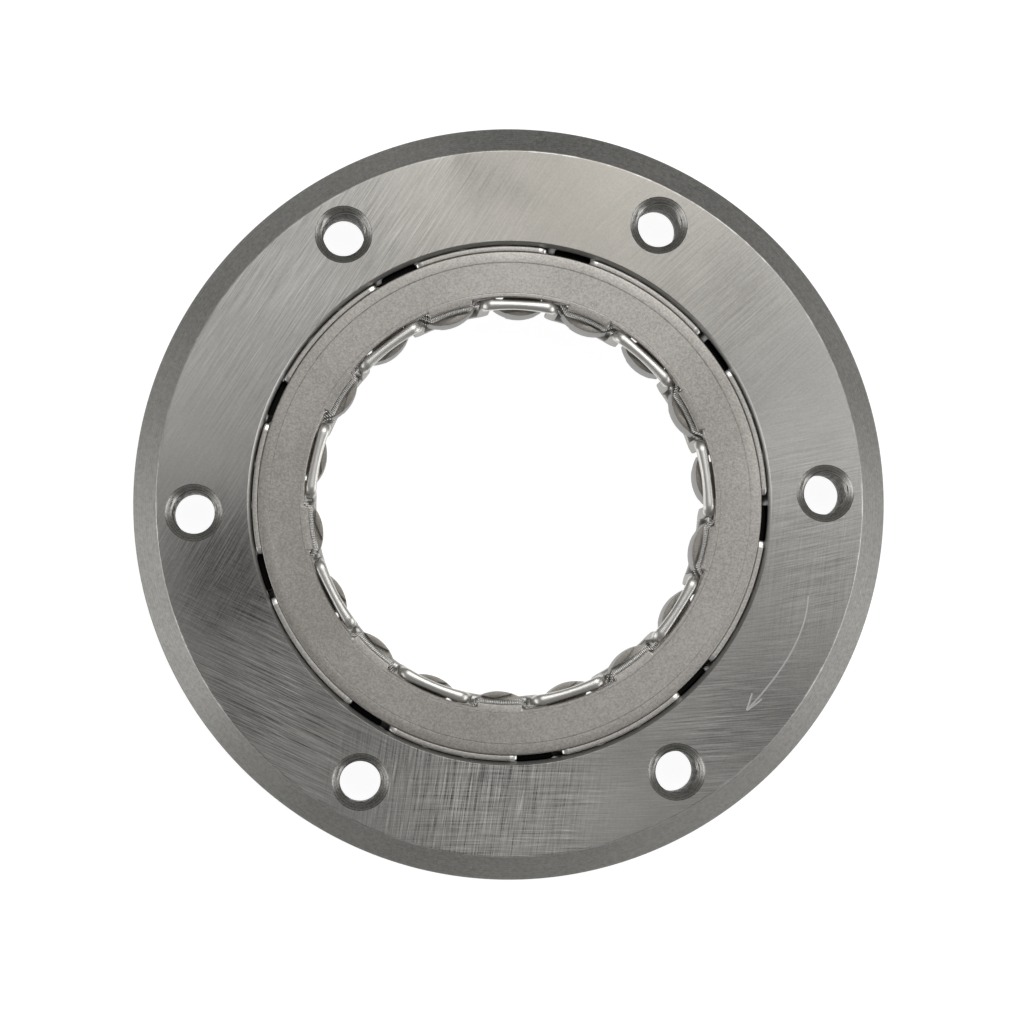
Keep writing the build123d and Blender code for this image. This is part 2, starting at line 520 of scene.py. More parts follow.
def new_group(name: str, inputs: dict, outputs: tuple) -> tuple:
    """Empty shader node group that takes a position and puts out numbers.

    Args:
        name: The group's name.
        inputs: Further inputs' default values by name, a number or a tuple for a vector.
        outputs: The outputs' names.

    Returns:
        The group, its NodeSheet, the sockets of its input node and those of its output node.
    """
    group = bpy.data.node_groups.new(name, "ShaderNodeTree")
    for label, value in {"Vector": (0.0, 0.0, 0.0), **inputs}.items():
        kind = VECTOR if isinstance(value, tuple) else FLOAT
        socket = group.interface.new_socket(label, in_out="INPUT", socket_type=kind)
        socket.default_value = value
    for label in outputs:
        group.interface.new_socket(label, in_out="OUTPUT", socket_type=FLOAT)
    given, result = group.nodes.new("NodeGroupInput"), group.nodes.new("NodeGroupOutput")
    return group, NodeSheet(group), given.outputs, result.inputs


class Effects:
    """The shared node groups, each made once."""

    def __init__(self) -> None:
        """Make the groups."""
        self.grain, self.grind = self.make_grain(), self.make_grind()
        self.patch, self.axis = self.make_patch(), self.make_axis()

    def make_grain(self) -> bpy.types.NodeTree:
        """Fine steel grain: a speckle value, a slow cloud value and a height for bumps.

        Returns:
            The node group.
        """
        inputs, outputs = {"Fine": 1.0, "Slow": 1.0}, ("Speckle", "Cloud", "Height")
        group, sheet, given, result = new_group("steel_grain", inputs, outputs)
        fine, coarse, slow = (sheet.noise(given["Vector"], *look) for look in GRAIN_NOISES)
        speckle = sheet.times(sheet.add(fine, -0.5), given["Fine"])
        cloud = sheet.times(sheet.add(slow, -0.5), given["Slow"])
        height = sheet.add(fine, coarse)
        sheet.feed(result, {"Speckle": speckle, "Cloud": cloud, "Height": height})
        return group

    def make_grind(self) -> bpy.types.NodeTree:
        """Straight grinding lines along X, about zero, with a few deeper bright scratches.

        Returns:
            The node group.
        """
        group, sheet, given, result = new_group("grinding_lines", {}, ("Lines",))
        looks = (LONG_LINES, SHORT_LINES, SCRATCHES)
        *both, marks = (sheet.lines(given["Vector"], *look) for look in looks)
        lines = sheet.add(*(sheet.times(*pair) for pair in zip(both, LINE_SHARES)), -0.5)
        sheet.feed(result, {"Lines": sheet.add(lines, sheet.ramp(marks, *SCRATCH_STEP))})
        return group

    def make_patch(self) -> bpy.types.NodeTree:
        """Soft round patch about a point: one at its centre and none at its reach.

        Returns:
            The node group.
        """
        inputs = {"Centre": (0.0, 0.0, 0.0), "Reach": 0.01}
        group, sheet, given, result = new_group("soft_patch", inputs, ("Mask",))
        ends = {0: given["Vector"], 1: given["Centre"]}
        away = sheet.node("VectorMath", ends, operation="DISTANCE")["Value"]
        sheet.feed(result, {"Mask": sheet.ramp(away, given["Reach"], 0.0)})
        return group

    def make_axis(self) -> bpy.types.NodeTree:
        """Distance from the clutch axis and height along it.

        Returns:
            The node group.
        """
        group, sheet, given, result = new_group("axis_place", {}, ("Radius", "Height"))
        across, up, height = sheet.node("SeparateXYZ", {0: given["Vector"]})
        flat = sheet.node("CombineXYZ", {0: across, 1: up})[0]
        radius = sheet.node("VectorMath", {0: flat}, operation="LENGTH")["Value"]
        sheet.feed(result, {"Radius": radius, "Height": height})
        return group


@dataclass(frozen=True)
class Patch:
    """A soft patch of a front face that is lighter or darker than the rest, in millimetres."""

    centre: tuple
    reach: float
    change: float


class SteelSheet(NodeSheet):
    """A steel material's nodes, with its Object position and the shared effects."""

    def __init__(self, name: str, effects: Effects) -> None:
        """Make the material and find each point's position and its place about the axis.

        Args:
            name: The material's name.
            effects: The shared node groups.
        """
        self.material = bpy.data.materials.new(name)
        self.material.use_nodes = True
        self.material.node_tree.nodes.clear()
        super().__init__(self.material.node_tree)
        self.effects = effects
        self.place = self.node("TexCoord", {})["Object"]
        self.radius, self.height = self.group(effects.axis)

    def group(self, tree: bpy.types.NodeTree, **values: object) -> bpy.types.bpy_prop_collection:
        """Outputs of a shared group placed on the position, or on another Vector."""
        return self.node("Group", {"Vector": self.place, **values}, node_tree=tree)

    def patch(self, centre: tuple, reach: float) -> Socket:
        """Mask of a soft patch of the front face, about a centre (x, y) in millimetres."""
        centre = tuple(value * MM for value in (*centre, FRONT))
        return self.group(self.effects.patch, Centre=centre, Reach=reach * MM)["Mask"]

    def patched(self, tone: object, patches: tuple) -> Socket:
        """A tone with patches of the front face added.

        Args:
            tone: The tone.
            patches: The patches, each a Patch.

        Returns:
            The changed tone.
        """
        for patch in patches:
            tone = self.add(tone, self.times(self.patch(patch.centre, patch.reach), patch.change))
        return tone

    def step(self, length: object, low: float, high: float) -> Socket:
        """Smooth step from 0 to 1 while a length goes from low to high millimetres."""
        return self.ramp(length, low * MM, high * MM)

    def turned_lines(self, value: object, density: float) -> Socket:
        """Fine lines of a turned surface about zero: noise of one value, by lines in a metre."""
        given = {"W": self.times(value, density), "Scale": 1.0, "Detail": 3.0}
        return self.add(self.node("TexNoise", given, noise_dimensions="1D")["Fac"], -0.5)

    def finish(
        self, colour: object, rough: object, height: object, bump: float, grazing: float = 1.0
    ) -> bpy.types.Material:
        """Feed the shader and give back the material.

        Args:
            colour: The base colour.
            rough: The roughness.
            height: The height for bumps.
            bump: Strength of the bumps.
            grazing: Brightness of reflections at grazing angles.

        Returns:
            The material.
        """
        relief = {"Strength": bump, "Distance": BUMP_HEIGHT * MM, "Height": height}
        look = {"Base Color": colour, "Roughness": rough, "Metallic": 1.0}
        look["Specular Tint"] = (grazing, grazing, grazing, 1.0)
        look["Normal"] = self.node("Bump", relief)[0]
        self.node("OutputMaterial", {0: self.node("BsdfPrincipled", look)[0]})
        return self.material


@dataclass(frozen=True)
class DepthShade:
    """A wall between two radii with painted shade, darkening from a height down to another and
    ending at a third.
    """

    inner: float
    outer: float
    high: float
    low: float
    end: float
    soft: float = 0.05
    fade: float = 0.4

    def mask(self, sheet: SteelSheet) -> Socket:
        """How much painted shade each point gets, from none to one.

        Args:
            sheet: The material's sheet.

        Returns:
            The mask.
        """
        near = sheet.step(sheet.radius, self.inner - self.soft, self.inner + self.soft)
        far = sheet.step(sheet.radius, self.outer + self.soft, self.outer - self.soft)
        deep = sheet.step(sheet.height, self.high, self.low)
        end = sheet.step(sheet.height, self.end - self.fade, self.end)
        return sheet.times(deep, end, near, far)


@dataclass(frozen=True)
class SteelFinish:
    """A steel finish: its colours, gloss, how strongly its grain shows, and any painted shade."""

    name: str
    light: tuple
    dark: tuple
    roughness: float
    grazing: float = 1.0
    speckle: float = 0.5
    cloud: float = 0.6
    bump: float = 0.12
    rings: float = 0.0
    ring_density: float = 9000.0
    ring_relief: float = 3.0
    cloud_gloss: float = -0.12
    # Soft patches of painted light and shade on the front face
    patches: tuple = ()
    depth: DepthShade | None = None

    def build(self, effects: Effects) -> bpy.types.Material:
        """The material, on Object coordinates.

        Args:
            effects: The shared node groups.

        Returns:
            The finished material.
        """
        sheet = SteelSheet(self.name, effects)
        grain = sheet.group(effects.grain, Fine=self.speckle, Slow=self.cloud)
        tone = sheet.add(0.5, grain["Speckle"], grain["Cloud"])
        height = grain["Height"]
        if self.rings > 0:
            fine = sheet.turned_lines(sheet.height, self.ring_density)
            tone = sheet.add(tone, sheet.times(fine, self.rings))
            height = sheet.add(height, sheet.times(fine, self.ring_relief))
        tone = sheet.patched(tone, self.patches)
        colour = sheet.mix(sheet.math("ADD", tone, 0.0, clamp=True), self.dark, self.light)
        # Painted shade deep in a recess, laid over the colour
        if self.depth is not None:
            colour = sheet.mix(self.depth.mask(sheet), colour, PAINTED_SHADE)
        rough = sheet.add(self.roughness, sheet.times(grain["Cloud"], self.cloud_gloss))
        return sheet.finish(colour, rough, height, self.bump, self.grazing)


@dataclass(frozen=True)
class GrindZone:
    """A zone of the ground faces: middle and reach in millimetres, and its lines' slope."""

    centre: tuple
    reach: float
    slope: float
    depth: float


@dataclass(frozen=True)
class RingSteel:
    """The ring's steel: ground faces whose lines change direction by zone, and turned sides.

    The faces lie at the heights of the front and the back; all else is turned, with fine lines
    round the axis. Pairs such as skin and edge_wear_and_highlight are where a finish starts and
    ends to fade, in millimetres. Painted light and shade lie in soft patches on the faces and
    sides, with a painted warm sheen, painted highlights on the outer edge and the bore chamfer,
    and painted shade down the bore wall.
    """

    name: str = "ground_ring_steel"
    light: tuple = (0.85, 0.83, 0.79, 1.0)
    dark: tuple = (0.10, 0.0985, 0.095, 1.0)
    spread: float = 0.667
    base: float = 0.70
    contrast: float = 1.3
    speckle: float = 0.35
    cloud: float = 0.4
    # Painted warm sheen, multiplied into the ground faces over a soft patch of their upper part
    warm_sheen: tuple = (1.0, 0.975, 0.925, 1.0)
    sheen_middle: tuple = (8.0, 38.0)
    sheen_reach: float = 42.0
    # Light colour of the outer edge's wear and painted highlight, and of the painted highlight on
    # the bore chamfer
    worn: tuple = (0.66, 0.655, 0.64, 1.0)
    turned_light: tuple = (0.30, 0.295, 0.278, 1.0)
    turned_dark: tuple = (0.06, 0.06, 0.056, 1.0)
    turned_base: float = 0.64
    turned_density: float = 5200.0
    turned_contrast: float = 0.5
    blotch: float = 0.9
    blotch_noise: tuple = (2000.0, 4.0, 0.75)
    roughness: float = 0.30
    turned_roughness: float = 0.38
    line_gloss: float = 0.08
    line_relief: float = 2.0
    bump: float = 0.10
    edge: float = 42.52
    edge_wear_and_highlight: tuple = (0.16, 0.02)
    wear_noise: tuple = (320.0, 5.0, 0.7)
    wear_gaps: tuple = (0.46, 0.66)
    skin: tuple = (0.08, 0.03)
    # Painted highlight on the bore chamfer: the radii and the depths below the front where it fades
    # in, and its share
    chamfer: tuple = (31.85, 31.75)
    chamfer_highlight_depths: tuple = (0.6, 0.4)
    chamfer_highlight: float = 0.35
    # Painted shade down the bore wall, darker the deeper it lies
    race: DepthShade = DepthShade(30.0, 31.3, 11.35, 10.5, 9.3)
    zones: tuple = (
        GrindZone((-24.0, 30.0), 42.0, 57.0, 1.2),
        GrindZone((27.0, 27.0), 27.0, 42.0, 0.6),
        GrindZone((38.0, -4.0), 24.0, 12.0, 1.0),
        GrindZone((38.0, -8.0), 20.0, 84.0, 0.5),
        GrindZone((26.0, -27.0), 22.0, 4.0, 1.2),
        GrindZone((0.0, -37.0), 22.0, 0.0, 1.7),
        GrindZone((-5.0, -36.0), 22.0, 82.0, 2.5),
        GrindZone((-28.0, -24.0), 24.0, -25.0, 1.7),
        GrindZone((-36.0, -6.0), 16.0, 60.0, 0.9),
    )
    # Soft patches of painted light and shade on the ground faces; the last three make a small stain
    patches: tuple = (
        Patch((-30.0, -14.0), 26.0, -0.16),
        Patch((-33.5, -7.5), 13.0, -0.42),
        Patch((-30.0, -24.0), 16.0, -0.16),
        Patch((-17.0, -28.0), 9.0, -0.18),
        Patch((-41.0, 13.0), 14.0, 0.22),
        Patch((-33.0, 26.0), 16.0, 0.20),
        Patch((-12.0, 37.0), 22.0, 0.08),
        Patch((28.0, 24.0), 24.0, -0.10),
        Patch((35.0, -16.0), 20.0, -0.10),
        Patch((31.0, -27.0), 16.0, -0.22),
        Patch((-8.0, -37.0), 15.0, 0.14),
        Patch((9.0, -37.0), 10.0, 0.28),
        Patch((0.0, -41.0), 10.0, 0.20),
        Patch((-3.3, 39.0), 6.0, -0.14),
        Patch((-5.5, 41.0), 3.0, -0.10),
        Patch((1.0, 37.2), 3.5, -0.08),
    )
    # Soft patches of painted shade and light on the turned sides: darker across the top, lighter at
    # the left and bottom
    turned_shade_and_light: tuple = (
        Patch((12.0, 43.0), 46.0, -0.30),
        Patch((-43.0, 12.0), 16.0, 0.14),
        Patch((-36.0, -22.0), 22.0, 0.10),
        Patch((24.0, -37.0), 24.0, 0.20),
    )

    def grinding(self, sheet: SteelSheet) -> Socket:
        """Grinding lines about zero, each zone's in its own direction.

        Args:
            sheet: The material's sheet.

        Returns:
            The lines.
        """
        shares = []
        for zone in self.zones:
            along = sheet.turned(sheet.place, -zone.slope)
            lines = sheet.group(sheet.effects.grind, Vector=along)["Lines"]
            shares.append(sheet.times(sheet.patch(zone.centre, zone.reach), zone.depth, lines))
        return sheet.add(*shares)

    def ground(self, sheet: SteelSheet, lines: object, grain: object) -> Socket:
        """Colour of the ground faces, with soft patches of painted light and shade, a stain and a
        painted warm sheen.

        Args:
            sheet: The material's sheet.
            lines: The grinding lines.
            grain: The outputs of the steel grain.

        Returns:
            The colour.
        """
        tone = sheet.add(self.base, sheet.times(lines, self.contrast))
        # Painted light and shade patches, and the stain, added to the tone
        tone = sheet.patched(sheet.add(tone, grain["Speckle"], grain["Cloud"]), self.patches)
        tone = sheet.math("MULTIPLY", tone, self.spread, clamp=True)
        # Painted warm sheen over the upper part of the faces
        sheen_mask = sheet.patch(self.sheen_middle, self.sheen_reach)
        return sheet.mix(sheen_mask, sheet.mix(tone, self.dark, self.light), self.warm_sheen, "MULTIPLY")

    def turned(self, sheet: SteelSheet, turning: object, grain: object) -> Socket:
        """Colour of the turned sides, with a painted highlight on the chamfer of the bore and
        painted shade down the bore wall.

        Args:
            sheet: The material's sheet.
            turning: The turned lines.
            grain: The outputs of the steel grain.

        Returns:
            The colour.
        """
        blotch = sheet.add(sheet.noise(sheet.place, *self.blotch_noise), -0.5)
        tone = sheet.add(
            self.turned_base,
            sheet.times(turning, self.turned_contrast),
            grain["Cloud"],
            sheet.times(blotch, self.blotch),
        )
        # Painted shade and light patches on the turned sides
        tone = sheet.patched(tone, self.turned_shade_and_light)
        tone = sheet.math("ADD", tone, grain["Speckle"], clamp=True)
        colour = sheet.mix(tone, self.turned_dark, self.turned_light)
        # Painted shade down the bore wall
        colour = sheet.mix(self.race.mask(sheet), colour, PAINTED_SHADE)
        # Painted highlight: the bore chamfer lightened towards the worn colour
        inside = sheet.step(sheet.radius, *self.chamfer)
        high = sheet.step(sheet.height, *(FRONT - depth for depth in self.chamfer_highlight_depths))
        return sheet.mix(sheet.times(inside, high, self.chamfer_highlight), colour, self.worn)

    def build(self, effects: Effects) -> bpy.types.Material:
        """The material, on Object coordinates.

        Args:
            effects: The shared node groups.

        Returns:
            The finished material.
        """
        sheet = SteelSheet(self.name, effects)
        grain = sheet.group(effects.grain, Fine=self.speckle, Slow=self.cloud)
        lines = self.grinding(sheet)
        spiral = sheet.math("SUBTRACT", sheet.radius, sheet.height)
        turning = sheet.turned_lines(spiral, self.turned_density)
        front = sheet.step(sheet.height, *(FRONT - depth for depth in self.skin))
        face = sheet.math("MAXIMUM", front, sheet.step(sheet.height, *self.skin))
        rest = sheet.math("SUBTRACT", 1.0, face)
        colour = sheet.mix(
            face, self.turned(sheet, turning, grain), self.ground(sheet, lines, grain)
        )
        # A bright line along the face's outer edge: a painted highlight, broken into gaps like wear
        beside = sheet.math("ABSOLUTE", sheet.math("SUBTRACT", sheet.radius, self.edge * MM))
        broken = sheet.ramp(sheet.noise(sheet.place, *self.wear_noise), *self.wear_gaps)
        edge_wear_and_highlight = sheet.times(sheet.step(beside, *self.edge_wear_and_highlight), broken)
        colour = sheet.mix(edge_wear_and_highlight, colour, self.worn)
        rough = sheet.times(sheet.add(self.roughness, sheet.times(lines, self.line_gloss)), face)
        rough = sheet.add(rough, sheet.times(rest, self.turned_roughness))
        relief = sheet.times(lines, self.line_relief, face)
        relief = sheet.add(relief, sheet.times(turning, rest), grain["Height"])
        return sheet.finish(colour, rough, relief, self.bump)


class Workshop:
    """All finishes, each built once."""

    def __init__(self) -> None:
        """Build the shared groups and every material."""
        effects = Effects()

        def steel(name: str, light: tuple, dark: tuple, roughness: float, **look: object) -> object:
            """A finish's material, from its name, colours, roughness and further looks."""
            return SteelFinish(name, (*light, 1), (*dark, 1), roughness, **look).build(effects)

        self.ground = RingSteel().build(effects)
        self.hole = steel(
            "drilled_hole_steel",
            (0.62, 0.61, 0.58),
            (0.14, 0.137, 0.13),
            0.38,
            speckle=1.4,
            bump=0.2,
            rings=2.6,
        )
        self.mark = steel("engraved_mark", (0.80, 0.79, 0.77), (0.55, 0.54, 0.52), 0.5)
        self.cage = steel(
            "drawn_cage_steel",
            (0.52, 0.495, 0.465),
            (0.33, 0.31, 0.285),
            0.48,
            speckle=3.0,
            cloud=1.2,
            bump=0.35,
            # Painted shade over the left and lower left of the flange
            patches=(Patch((-24.0, -10.0), 34.0, -0.22),),
            # Painted shade down the lip slots, darker the deeper they go
            depth=DepthShade(30.2, 34.0, 11.35, 10.5, 9.5),
        )
        rubbed = (0.60, 0.58, 0.55), (0.34, 0.325, 0.30)
        self.lip = steel("rubbed_lip_steel", *rubbed, 0.48, speckle=2.4, bump=0.3)
        # A lighter, glossier copy of the lip finish for its ends: a painted highlight
        bright = (0.92, 0.90, 0.87), (0.66, 0.645, 0.615)
        self.lip_end = steel("lip_end_highlight_steel", *bright, 0.34)
        pressed = (0.60, 0.59, 0.565), (0.46, 0.45, 0.425)
        self.band = steel("pressed_band_steel", *pressed, 0.42, grazing=0.6, bump=0.08)
        polished = (0.80, 0.785, 0.75), (0.60, 0.585, 0.55)
        self.bar = steel("polished_bar_steel", *polished, 0.40, bump=0.10)
        wire = (0.88, 0.87, 0.84), (0.60, 0.59, 0.56)
        self.spring = steel("spring_wire_steel", *wire, 0.50, speckle=2.4, bump=0.1)
        cam = (0.52, 0.515, 0.50), (0.38, 0.375, 0.365)
        self.sprag = steel("polished_cam_steel", *cam, 0.42, grazing=0.5, bump=0.08)
        black = (0.42, 0.395, 0.36), (0.21, 0.195, 0.175)
        self.sprag_end = steel("black_sprag_end", *black, 0.5, speckle=1.6, bump=0.35)


# The clutch


@dataclass
class ClutchRing:
    """The hardened ring: race, six countersunk tapped holes, bevels and the arrow."""

    segments: int = 480
    radius: float = 45.45
    bore: float = 31.15
    thickness: float = 12.0
    front_bevel: float = 2.9
    back_bevel: float = 0.8
    bore_chamfer: float = 0.5
    seat_radius: float = 33.0
    seat_depth: float = 1.15
    bolt_circle: float = 38.1
    bolts: int = 6
    bolt_angle: float = 1.8
    core: float = 2.5
    sink: float = 3.475
    back_sink: float = 2.8
    pitch: float = 1.0
    thread: float = 0.45
    crest: tuple = (0.2, 0.7)
    overrun: float = 0.4
    hole_steps: tuple = (110, 48)
    stroke: float = 0.13
    stroke_lift: float = 0.05
    strokes: tuple = (
        ((36.02, -11.21), (35.90, -17.36), (28.55, -24.95)),
        ((28.55, -24.95), (28.95, -23.90), (29.21, -22.90)),
        ((28.55, -24.95), (29.45, -24.35), (30.35, -23.62)),
    )

    def outline(self) -> np.ndarray:
        """Section of the ring, with small worn radii on its edges.

        Returns:
            The closed outline (radius, height).
        """
        top, rim = self.thickness, self.radius
        return rounded_loop(
            [
                (self.bore, self.seat_depth, 0.04),
                (self.seat_radius, self.seat_depth, 0.04),
                (self.seat_radius, 0.0, 0.08),
                (rim - self.back_bevel, 0.0, 0.12),
                (rim, self.back_bevel, 0.15),
                (rim, top - self.front_bevel, 0.22),
                (rim - self.front_bevel, top, 0.16),
                (self.bore + self.bore_chamfer, top, 0.05),
                (self.bore, top - self.bore_chamfer, 0.05),
            ]
        )

    def hole_cutter(self) -> Shell:
        """Tapped hole with a countersink at both ends.

        The radius is the larger of the countersink cone and the thread, whose groove is a
        triangle wave of height less turns: core + depth * wave(z / pitch - angle / turn).

        Returns:
            The cutter on the clutch axis.
        """
        rows, columns = self.hole_steps
        angle = np.linspace(0, TURN, columns, endpoint=False)[None, :]
        height = np.linspace(-self.overrun, self.thickness + self.overrun, rows)[:, None]
        wave = np.abs(2.0 * np.mod(height / self.pitch - angle / TURN, 1.0) - 1.0)
        groove = self.core + self.thread * np.clip((wave - self.crest[0]) / self.crest[1], 0, 1)
        front = self.sink - (self.thickness - height)
        back = self.back_sink - height
        radius = np.maximum(groove, np.maximum(front, back))
        return prism(polar(radius, angle, height))

    def arrow_cutters(self) -> list[Shell]:
        """Three engraving strokes: a curved shaft that bends clockwise and two barbs.

        Each stroke is a round groove along the quadratic curve of its three points.

        Returns:
            The cutters, each a tube whose lower side dips into the face.
        """
        cutters = []
        for start, bend, end in self.strokes:
            flat = quadratic(start, bend, end, 25)
            path = np.column_stack([flat, np.full(len(flat), self.thickness + self.stroke_lift)])
            along = np.gradient(path, axis=0)
            along /= np.linalg.norm(along, axis=1, keepdims=True)
            side = np.cross(along, [0, 0, 1.0])
            cutters.append(tube(path, side, np.cross(side, along), self.stroke, 8, False))
        return cutters

    def build(self, shop: Workshop) -> bpy.types.Object:
        """Make the ring and dress it.

        Args:
            shop: The finishes.

        Returns:
            The ring.
        """
        ring = piece("ring_body", lathe(self.outline(), self.segments), shop.ground)
        angles = np.radians(self.bolt_angle + np.arange(self.bolts) * 360 / self.bolts)
        hole = self.hole_cutter()
        places = [polar(self.bolt_circle, angle, 0.0) for angle in angles]
        holes = [Shell(hole.points + place, hole.faces) for place in places]
        carve(ring, piece("hole_cutters", join(holes), shop.hole))
        for stroke in self.arrow_cutters():
            carve(ring, piece("stroke_cutter", stroke, shop.mark))
        soften(ring, 30.0)
        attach(ring, "ring")
        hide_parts("clutch_outer")
        return ring


@dataclass
class OuterCage:
    """The drawn cup with its front flange, windows, nine lip segments and rear seat flange."""

    segments: int = 720
    top: float = 12.0
    sheet: float = 0.9
    wall: float = 31.05
    step: float = 30.38
    land: float = 24.3
    notch: float = 24.85
    notch_span: float = 27.4
    notch_angle: float = 7.1
    seat_flange: float = 32.9
    seat_low: float = 0.2
    slot_span: float = 10.2
    slot_angle: float = 36.7
    slot_depth: float = 2.4
    lip_drop: float = 0.12
    lip_end: float = 0.9
    lip_fall: float = 0.4
    notch_edge: float = 0.15
    window: float = 6.4
    window_low: float = 1.5
    window_high: float = 10.7
    window_angle: float = 5.643
    window_corner: float = 0.3
    stations: int = 9
    notch_flare: float = 0.4
    notch_reach: float = 20.0
    notch_low: float = 1.85
    rolled_lines: tuple = (
        (29.09, 0.01),
        (29.04, 0.045),
        (28.98, 0.0),
        (25.41, 0.0),
        (25.36, 0.025),
        (25.30, 0.01),
    )
    line_corner: float = 0.01
    edge_fall: float = 0.03
    lip_overlap: tuple = (0.03, 0.15)

    def outline(self) -> np.ndarray:
        """Section of the cup, with two rolled lines on the flange and no lip.

        Returns:
            The closed outline (radius, height).
        """
        inner, under = self.wall - self.sheet, self.top - self.sheet
        floor, seat_top = self.top - self.slot_depth, self.seat_low + self.sheet
        rim = self.top - self.edge_fall
        corners = [(self.land, under, 0.1), (inner, under, 0.25), (inner, self.seat_low, 0.5)]
        corners += [(self.seat_flange, self.seat_low, 0.1), (self.seat_flange, seat_top, 0.1)]
        corners += [(self.wall, seat_top, 0.15), (self.wall, floor, 0.05)]
        corners += [(self.step, floor, 0.05), (self.step, rim, 0.18)]
        for radius, depth in self.rolled_lines:
            corners.append((radius, self.top - depth, self.line_corner))
        return rounded_loop(corners + [(self.land, rim, 0.14)])

    def sector(self, near: float, far: float, span: float, corner: float = 0.12) -> np.ndarray:
        """Outline (x, y) of a ring sector about +X, with its far corners slightly rounded.

        Args:
            near: Inner radius.
            far: Outer radius.
            span: Angle in degrees.
            corner: Size of the rounding.

        Returns:
            The closed outline.
        """
        half = math.radians(span) / 2
        ease = corner / far
        outer = arc((0, 0), far, -half + ease, half - ease, 40)
        high = np.array([[math.cos(half), math.sin(half)]]) * (far - corner)
        return np.vstack([high * [[1, -1]], outer, high, arc((0, 0), near, half, -half, 16)])

    def notch_cutter(self) -> Shell:
        """Cutter for one flange notch, flared at 45 degrees so that it leaves a light edge.

        Returns:
            The cutter about +X.
        """
        flare, edge = self.notch_flare, self.top - self.notch_edge
        rings = []
        for height, wider in ((edge - self.notch_low, 0.0), (edge, 0.0), (edge + flare, flare)):
            span = self.notch_span + 2 * math.degrees(wider / self.notch)
            flat = self.sector(self.notch_reach, self.notch + wider, span)
            rings.append(np.column_stack([flat, np.full(len(flat), height)]))
        return prism(np.stack(rings))

    def lip(self, first: float, last: float) -> Shell:
        """One lip segment between two slots, rounded off at its ends.

        The section is a rounded rectangle. Near an end, its upper side falls by
        fall (1 - sqrt(1 - s^2)) and its outer side draws in by half of that, where s is how far
        into the end's length the section lies.

        Args:
            first: Angle of its first end in radians.
            last: Angle of its last end in radians.

        Returns:
            The closed segment.
        """
        (across, below), rise = self.lip_overlap, self.slot_depth - self.lip_drop
        corners = [(self.step - across, -below, 0.05), (self.wall, -below, 0.05)]
        corners += [(self.wall, rise, 0.2), (self.step + across, rise, 0.1)]
        section = rounded_loop(corners, 6)
        ends = self.lip_end / self.wall
        ease = np.sin(np.linspace(0, math.pi / 2, 9))
        straight = np.linspace(first + ends, last - ends, 62)[1:-1]
        ease = ends * (1 - ease)
        angle = np.concatenate([first + ease[::-1], straight, last - ease])
        into = np.clip(np.maximum(first + ends - angle, angle - last + ends) / ends, 0, 1)
        draw = self.lip_fall * (1 - np.sqrt(1 - into**2))[:, None]
        share = np.clip((section[None, :, 0] - self.step) / (self.wall - self.step), 0, 1)
        lift = np.clip(section[None, :, 1] / self.slot_depth, 0, 1)
        radius = section[None, :, 0] - 0.5 * draw * share * lift
        height = self.top - self.slot_depth + section[None, :, 1] - draw * lift
        return prism(polar(radius, angle[:, None], height))

    def near_slots(self, mesh: bpy.types.Mesh) -> np.ndarray:
        """Which faces of the lip lie in the rounded ends beside the slots.

        A face counts where its middle is within half a slot and one end's length of a slot's
        middle, measured round the axis.

        Args:
            mesh: The lip segments.

        Returns:
            True or False for each face.
        """
        middle = face_vectors(mesh, "center")
        pitch = 360 / self.stations
        angle = np.degrees(np.arctan2(middle[:, 1], middle[:, 0])) - self.slot_angle
        away = np.abs((angle + pitch / 2) % pitch - pitch / 2)
        return away < self.slot_span / 2 + math.degrees(self.lip_end / self.wall)

    def build(self, shop: Workshop) -> bpy.types.Object:
        """Make the cage and dress it.

        Args:
            shop: The finishes.

        Returns:
            The cage.
        """
        cage = piece("cage_cup", lathe(self.outline(), self.segments), shop.cage)
        turn = TURN / self.stations
        angles = np.arange(self.stations) * turn
        notch = self.notch_cutter()
        cuts = [notch.turned(math.radians(self.notch_angle) + angle) for angle in angles]
        carve(cage, piece("notch_cutters", join(cuts), shop.cage))
        start = math.radians(self.slot_angle + self.slot_span / 2)
        span = turn - math.radians(self.slot_span)
        lips = [self.lip(start + angle, start + angle + span) for angle in angles]
        rim = piece("lip_segments", join(lips), shop.lip)
        # The lip's ends take the lighter finish, a painted highlight
        second_finish(rim.data, self.near_slots(rim.data), shop.lip_end)
        carve(cage, rim, "UNION")
        sides = [(-self.window / 2, self.window_low), (self.window / 2, self.window_low)]
        sides += [(self.window / 2, self.window_high), (-self.window / 2, self.window_high)]
        pane = rounded_loop([(*corner, self.window_corner) for corner in sides])
        window = radial_prism(pane, self.wall - 2 * self.sheet, self.wall + self.sheet)
        first = math.radians(self.window_angle)
        cuts = [window.turned(first + index * turn / 2) for index in range(2 * self.stations)]
        carve(cage, piece("window_cutters", join(cuts), shop.cage))
        soften(cage, SHARP_CORNER)
        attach(cage, "cage_unit")
        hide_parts("outer_cage")
        return cage


